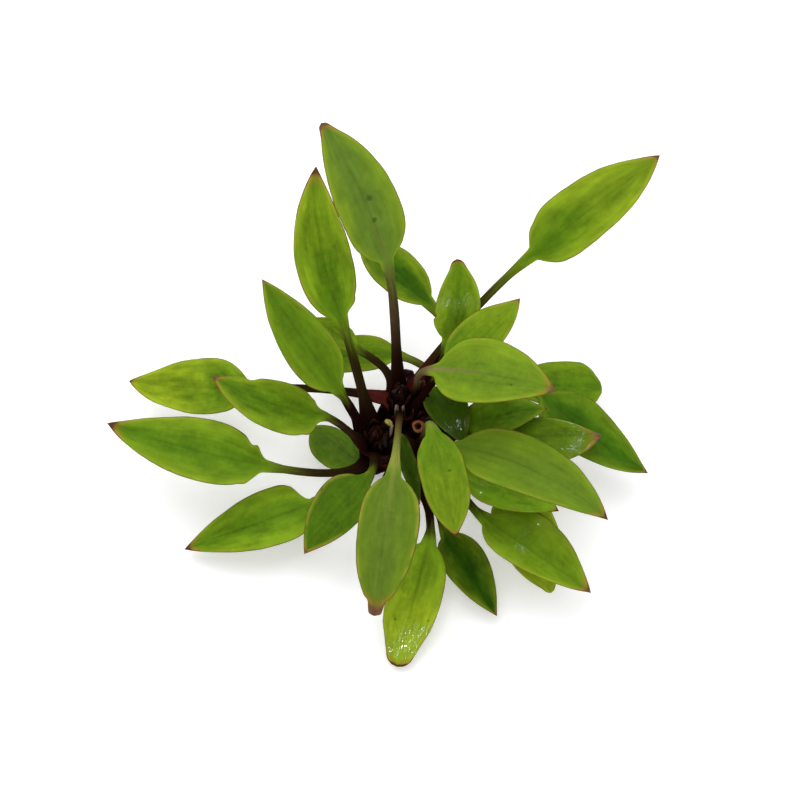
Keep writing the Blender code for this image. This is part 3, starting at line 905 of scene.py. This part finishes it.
# %% Gloss and fine relief
WET_LENGTH, WET_ELSEWHERE = 0.3, 0.3
WET_ABOVE = (0.5, 0.7)
BEAD_SCALE, BEADS_ABOVE = 700, (-0.2, 0.4)
FILM_BETWEEN_BEADS = 0.2
RELIEF_HEIGHT, FILM_HEIGHT = 0.12 * MM, 0.13 * MM
wet_here = mixed(bump_at(blade, look["wet_at"], WET_LENGTH), WET_ELSEWHERE, 1) * look["wet"]
patches = step(leaf_grain(9, 5, 3.0) * 0.5 + wet_here, *WET_ABOVE)
beads = step(grain(tree, BEAD_SCALE), *BEADS_ABOVE) * patches
put(shader.inputs["Coat Weight"], patches * mixed(beads, FILM_BETWEEN_BEADS, 1))
put(shader.inputs["Roughness"], 0.55 + fine * 0.06)
height = wrinkle * rippled * 0.6 + patch * 0.5 + streak * 0.3 + fine * 0.2
put(shader.inputs["Normal"], bumped(height, 0.6, RELIEF_HEIGHT))
put(shader.inputs["Coat Normal"], bumped(height * 0.5 + beads, 1.0, FILM_HEIGHT))

# %% [markdown]
# ## The leaves
#
# Each leaf grows from its own guide, with its own wave. Some have a form of their own, such as a notch at a shoulder
# or a pinched tip: those inputs are in a short table. The leaf then takes the place of its solid.

# %% Thirty leaves
SHAPES = {
    "tall_left": {"Clasp From": -0.65, "Right Dent Depth": -0.12, "Right Dent At": 0.08, "Stalk": 1.15},
    "tall_back": {"Lobe": 0.9 * MM, "Lobe At": 0.97, "Lobe Taper": 17 * MM, "Stalk": 1.2},
    "upper_left": {"Clasp From": -0.6, "Stalk": 1.2},
    "centre_right": {"Clasp From": -1.0, "Stalk": 0.9},
    "far_left_back": {"Clasp From": -0.78, "Clasp Over": 0.3, "Clasp": 0.85},
    "left_middle": {
        "Clasp From": -0.6,
        "Right Dent At": 0.68,
        "Right Dent Depth": 0.16,
        "Left Dent At": 0.07,
        "Left Dent Depth": -0.2,
        "Dent Length": 0.09,
        "Right Shoulder": 0.13,
        "Shoulder At": 0.035,
    },
    "far_left": {
        "Right Shoulder": 0.26,
        "Shoulder At": 0.042,
        "Right Dent At": 0.1,
        "Right Dent Depth": 0.12,
        "Left Dent At": 0.1,
        "Left Dent Depth": -0.1,
    },
    "low_left": {"Right Dent At": 0.045, "Right Dent Depth": 0.4, "Dent Length": 0.07},
    "far_right_up": {"Left Dent Depth": -0.15, "Right Dent At": 0.12, "Right Dent Depth": -0.06, "Dent Length": 0.08},
    "back_small": {"Left Dent At": 0.3, "Left Dent Depth": 0.12, "Wave": 0.8 * MM, "Lobe": 1.2 * MM},
    "front": {
        "Nib": 0.3,
        "Lobe": 1.45 * MM,
        "Lobe At": 0.97,
        "Lobe Taper": 6 * MM,
        "Clasp From": -1.0,
        "Stalk": 0.78,
    },
    "front_low": {"Wave": 0.7 * MM, "Lobe": 2.5 * MM, "Lobe At": 0.93, "Lobe Taper": 11 * MM, "Clasp From": -0.3},
    "front_dark": {"Clasp From": -0.3},
    "front_light": {"Lobe": 0.6 * MM, "Lobe At": 0.975},
    "low_right": {"Wave": 0.8 * MM},
    "centre_dark": {"Wave": 1.3 * MM},
    "far_right": {"Wave": 0.7 * MM},
    "right_dark": {"Wave": 0.9 * MM},
    "low_right_under": {"Lobe": 1.2 * MM},
    "right_middle": {"Wave": 1.5 * MM},
    "right_back": {"Wave": 0.9 * MM, "Lobe": 3.2 * MM, "Lobe At": 0.88},
}
WAVE_SEED_STEP = 0.37
leaves = {}
for number, name in enumerate(LOOKS):
    inputs = {"Material": leaf_finish, "Seed": number * WAVE_SEED_STEP, **SHAPES.get(name, {})}
    leaf = grown(f"{name}_leaf", guide_of(name), leaf_tree, inputs)
    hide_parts(f"leaf_{name}")
    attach(leaf, "root")
    leaves[name] = leaf
print(f"{sum(len(leaf.data.vertices) for leaf in leaves.values())} vertices in {len(leaves)} leaves")

# %% [markdown]
# ## The rootstock
#
# The rootstock is old and rough: nearly black tissue, ringed by the scars of earlier leaves, with a few cut stubs.
# Its solid is remeshed fine enough to carry relief, and a second tree pushes the skin in and out along its normal.

# %% The rootstock's solid, remeshed
VOXEL = 0.25 * MM
SMOOTHINGS = 4
skin = bpy.data.objects.new("skin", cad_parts["rootstock"].data.copy())
bpy.context.scene.collection.objects.link(skin)
remesh = skin.modifiers.new("remesh", "REMESH")
remesh.mode = "VOXEL"
remesh.voxel_size = VOXEL
smooth = skin.modifiers.new("smooth", "SMOOTH")
smooth.iterations = SMOOTHINGS
graph = bpy.context.evaluated_depsgraph_get()
skin_data = bpy.data.meshes.new_from_object(skin.evaluated_get(graph), depsgraph=graph)
bpy.data.objects.remove(skin)
print(f"{len(skin_data.vertices)} vertices in the rootstock's skin")

# %% [markdown]
# A cut stub has a pale ring of tissue round a dark hole. Near each cut end, the tree stores how much a point belongs
# to the ring and to the hole, and sinks the hole.

# %% A tree for relief and cut ends
Cut = namedtuple("Cut", "end way radius")
CUTS = (
    Cut(Vector((4.4, -8.2, 19)), Vector((-1.7, -2.4, 6)), 1.8),
    Cut(Vector((-2.6, -4.0, 14.6)), Vector((3.3, 2.7, 4.6)), 1.3),
    Cut(Vector((-11.5, -2.5, 9.5)), Vector((-6.0, 3.9, 3.5)), 1.0),
)
ROOTSTOCK_INPUTS = {
    "Lumps": 0.45 * MM,
    "Grain": 0.16 * MM,
    "Scars": 0.16 * MM,
    "Scar Spacing": 1.5 * MM,
    "Hole Depth": 1.6 * MM,
    "Foot": 1.2 * MM,
    "Material": None,
}
root_tree, given = new_tree("rootstock", ROOTSTOCK_INPUTS)
LUMP_SCALE, GRAIN_SCALE, FRAY_SCALE = 230, 1100, 600
FRAY = 0.7 * MM
RING_BEGINS, RING_ENDS = (-0.9 * MM, -0.5 * MM), (1.5 * MM, 1.0 * MM)
RING_OUTSIDE, HOLE_OUTSIDE = (1.5, 1.2), (0.6, 0.3)
place = field(root_tree, "GeometryNodeInputPosition")
normal = field(root_tree, "GeometryNodeInputNormal")
height = field(root_tree, "ShaderNodeSeparateXYZ", {0: place}, "Z")
lumps = noise_at(place, LUMP_SCALE, 2.0)
scars = maths("SINE", (height + lumps * 0.6 * MM) * (2 * math.pi) / given["Scar Spacing"])
relief = lumps * given["Lumps"] + noise_at(place, GRAIN_SCALE, 3.0) * given["Grain"] + scars**3 * given["Scars"]
relief = relief * step(height, 0, given["Foot"])
moved = vector("ADD", place, scaled(normal, relief))
frayed = noise_at(place, FRAY_SCALE, 2.0) * FRAY
ring_share, hole_share = height * 0, height * 0
for cut in CUTS:
    way = field(root_tree, "FunctionNodeInputVector", vector=cut.way.normalized())
    from_end = vector("SUBTRACT", place, cut.end * MM)
    along = vector("DOT_PRODUCT", from_end, way, output="Value")
    away = vector("LENGTH", vector("CROSS_PRODUCT", from_end, way), output="Value") + frayed
    away = away / (cut.radius * MM)
    ring_here = step(along, *RING_BEGINS) * step(along, *RING_ENDS) * step(away, *RING_OUTSIDE)
    hole_here = ring_here * step(away, *HOLE_OUTSIDE)
    ring_share, hole_share = ring_share + ring_here, hole_share + hole_here
    moved = vector("SUBTRACT", moved, scaled(way, hole_here * given["Hole Depth"]))
rough = given["Geometry"]
for label, value in {"cut": ring_share, "hole": hole_share, "hollow": relief / MM}.items():
    rough = stored(root_tree, rough, label, value)
rough = field(root_tree, "GeometryNodeSetPosition", {0: rough, "Position": moved})
rough = field(root_tree, "GeometryNodeSetShadeSmooth", {0: rough})
end_tree(root_tree, rough, given["Material"])

# %% [markdown]
# Its colour is a maroon so dark that it looks black, a little redder where the skin stands out. The cut rings are
# pale salmon, like living tissue, and pale yellow on the left, and the sunk hole in each is painted near-black, as
# shade. Water still clings to it, so there is a wet coat over much of it.

# %% The rootstock's material
ROOT_BLACK = (0.006, 0.0014, 0.0012)
ROOT_MAROON = (0.035, 0.008, 0.007)
CUT_SALMON = (0.24, 0.08, 0.04)
CUT_YELLOW = (0.42, 0.36, 0.08)
HOLE_SHADE = (0.012, 0.004, 0.003)
LEFT_CUTS = (0.5 * MM, 2.5 * MM)
root_finish, tree, shader = new_finish("old_rootstock", Specular_IOR_Level=0.02, Coat_Roughness=0.1, Coat_IOR=1.33)
coarse, small = grain(tree, 260, 4.0), grain(tree, 1300, 2.0)
hollow = attribute(tree, "hollow")
colour = tinted(step(hollow + coarse * 0.4, -0.3, 0.6), ROOT_BLACK, ROOT_MAROON)
spot = field(tree, "ShaderNodeTexCoord", output="Object")
to_left_side = -field(tree, "ShaderNodeSeparateXYZ", {0: spot}, "X")
cut_colour = tinted(step(to_left_side + coarse * MM, *LEFT_CUTS), CUT_SALMON, CUT_YELLOW)
colour = tinted(attribute(tree, "cut"), colour, cut_colour)
# Painted shade: the sunk hole in each cut is near-black.
colour = tinted(attribute(tree, "hole"), colour, HOLE_SHADE)
put(shader.inputs["Base Color"], colour)
put(shader.inputs["Roughness"], 0.5 + small * 0.1)
put(shader.inputs["Coat Weight"], step(coarse, 0.1, 0.4) * 0.5)
put(shader.inputs["Normal"], bumped(small * 0.6 + coarse, 0.5, 0.2 * MM))
rootstock = grown("old_rootstock", skin_data, root_tree, {"Material": root_finish})
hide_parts("rootstock")
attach(rootstock, "root")

# %% [markdown]
# ## Remains of old leaves
#
# Between the living sheaths stand torn remains of older ones: thin pointed scales, dark below and pale at the torn
# edges. Those that the photograph shows are placed one by one, and the others follow the same spiral as the leaves,
# one every 137.5 degrees round a shoot. The leaf tree can grow them too, because a scale is the lowest part of a leaf
# that ends in a point. The youngest ones close over the tip of each shoot as a bud. Measures are in millimetres.

# %% Where the old sheaths stand
GOLDEN_ANGLE = math.radians(137.5)
SCALE_SHARES = (0, 0.25, 0.5, 0.75, 0.92, 1)
SCALE_WIDTHS = (1, 1, 0.9, 0.65, 0.3, 0)
SCALE_FOOT, SCALE_SPAN = -2, 0.3
SCALE_HALF_THICKNESS = 0.1
OldSheath = namedtuple("OldSheath", "foot length width lean pale facing", defaults=(None,))
PLACED_SHEATHS = [
    OldSheath(Vector((-0.9, -2.2, 14)), 5.6, 0.6, 0.2, 1),
    OldSheath(Vector((0.9, -2.2, 14)), 5.2, 0.5, 0.1, 1),
    OldSheath(Vector((-2.4, 0.9, 13)), 4.5, 0.8, 0.4, 0.8),
    OldSheath(Vector((3.9, -1.6, 13)), 4.5, 1.2, 1.0, 0.6),
    OldSheath(Vector((-2.2, -5.6, 11)), 4.0, 1.0, 0.5, 0.9),
    OldSheath(Vector((4.2, 0.9, 12)), 8.5, 2.8, 4.2, 0.5, Vector((-0.5, -1, 0))),
    OldSheath(Vector((6.8, -1.2, 11)), 10.5, 2.2, 1.0, 0.1),
    OldSheath(Vector((-4.4, -0.8, 8)), 9.0, 2.4, 0.4, 0.1, Vector((0.2, -1, 0))),
    OldSheath(Vector((-6.0, -1.6, 6)), 8.0, 2.2, 0.4, 0.1, Vector((0.3, -1, 0))),
]
SHEATHS_ROUND, SPIRAL_FROM, SPIRAL_TO = 7, 0.45, 0.8
BUD_SHEATHS, BUD_TURN = 5, 0.6


def level_way(turn):
    """The level unit vector at an angle."""
    return Vector((math.cos(turn), math.sin(turn), 0))


def sheaths_round(shoot):
    """Old sheaths on a spiral up a shoot."""
    made = []
    for number in range(SHEATHS_ROUND):
        share = SPIRAL_FROM + (SPIRAL_TO - SPIRAL_FROM) * number / (SHEATHS_ROUND - 1)
        radius = (shoot.foot_radius + (shoot.top_radius - shoot.foot_radius) * share) / MM + 0.4
        foot = shoot.foot.lerp(shoot.top, share) / MM + level_way(number * GOLDEN_ANGLE) * radius
        made.append(OldSheath(foot, 4 + number % 3, 1.7, 0.1, 0.1 * (number % 4)))
    return made


def bud_over(shoot):
    """The youngest sheaths, which close over the tip of a shoot."""
    made = []
    top, radius = shoot.top / MM, shoot.top_radius / MM
    for number in range(BUD_SHEATHS):
        foot = top + level_way(number * GOLDEN_ANGLE + BUD_TURN) * (radius + 0.25) - UP * 2
        made.append(OldSheath(foot, 3.2 + 0.3 * number, 1.5, radius * -1.1, 0.05 * number))
    return made


def scales_guide(sheaths):
    """The lines of many old sheaths as one mesh of edges, with what the leaf tree reads."""
    places, edges = [], []
    values = {label: [] for label in ("to_left", "to_right", "face", "blade", "hug", "half_thickness", "pale")}
    for sheath in sheaths:
        inward = (sheath.facing or way_in(sheath.foot * MM)).normalized()
        left = inward.cross(UP) * SCALE_HALF_THICKNESS * MM
        for share, width in zip(SCALE_SHARES, SCALE_WIDTHS):
            if share:
                edges.append((len(places) - 1, len(places)))
            places.append((sheath.foot + UP * sheath.length * share - inward * sheath.lean * share * share) * MM)
            blade, hug = SCALE_FOOT + SCALE_SPAN * share, sheath.width * width * MM
            numbers = ([blade], [hug], [SCALE_HALF_THICKNESS * MM], [sheath.pale])
            for stored_values, parts in zip(values.values(), (left, -left, inward, *numbers)):
                stored_values.extend(parts)
    mesh = bpy.data.meshes.new("scales")
    mesh.from_pydata(places, edges, [])
    for label, parts in values.items():
        write_points(mesh, label, parts)
    return mesh


# %% The old sheaths' material
SCALE_PALE = (0.34, 0.27, 0.2)
SCALE_RED = (0.045, 0.011, 0.006)
sheath_finish, tree, shader = new_finish("old_sheath", Specular_IOR_Level=0.02, Coat_Roughness=0.08, Coat_IOR=1.33)
across, blade, pale = (attribute(tree, label) for label in ("across", "blade", "pale"))
worn = abs(across) * 0.4 + step(blade, SCALE_FOOT, SCALE_FOOT + SCALE_SPAN) * 0.3 + grain(tree, 500) * 0.5
colour = tinted(step(worn + pale * 0.7, 0.35, 1.1), ROOT_BLACK, SCALE_RED)
colour = tinted(step(worn + pale * 0.9, 1.0, 1.5), colour, SCALE_PALE)
put(shader.inputs["Base Color"], colour)
put(shader.inputs["Roughness"], 0.45 + grain(tree, 900) * 0.1)
shader.inputs["Coat Weight"].default_value = 0.1
old_sheaths = PLACED_SHEATHS.copy()
for shoot in SHOOTS:
    old_sheaths += sheaths_round(shoot) + bud_over(shoot)
scale_inputs = {
    "Material": sheath_finish,
    "Rows": 24,
    "Points Round": 24,
    "Midrib": 0.05 * MM,
    "Clasp Thickness": 0.12 * MM,
}
scales = grown("old_sheaths", scales_guide(old_sheaths), leaf_tree, scale_inputs)
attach(scales, "root")
print(f"{len(old_sheaths)} old sheaths")
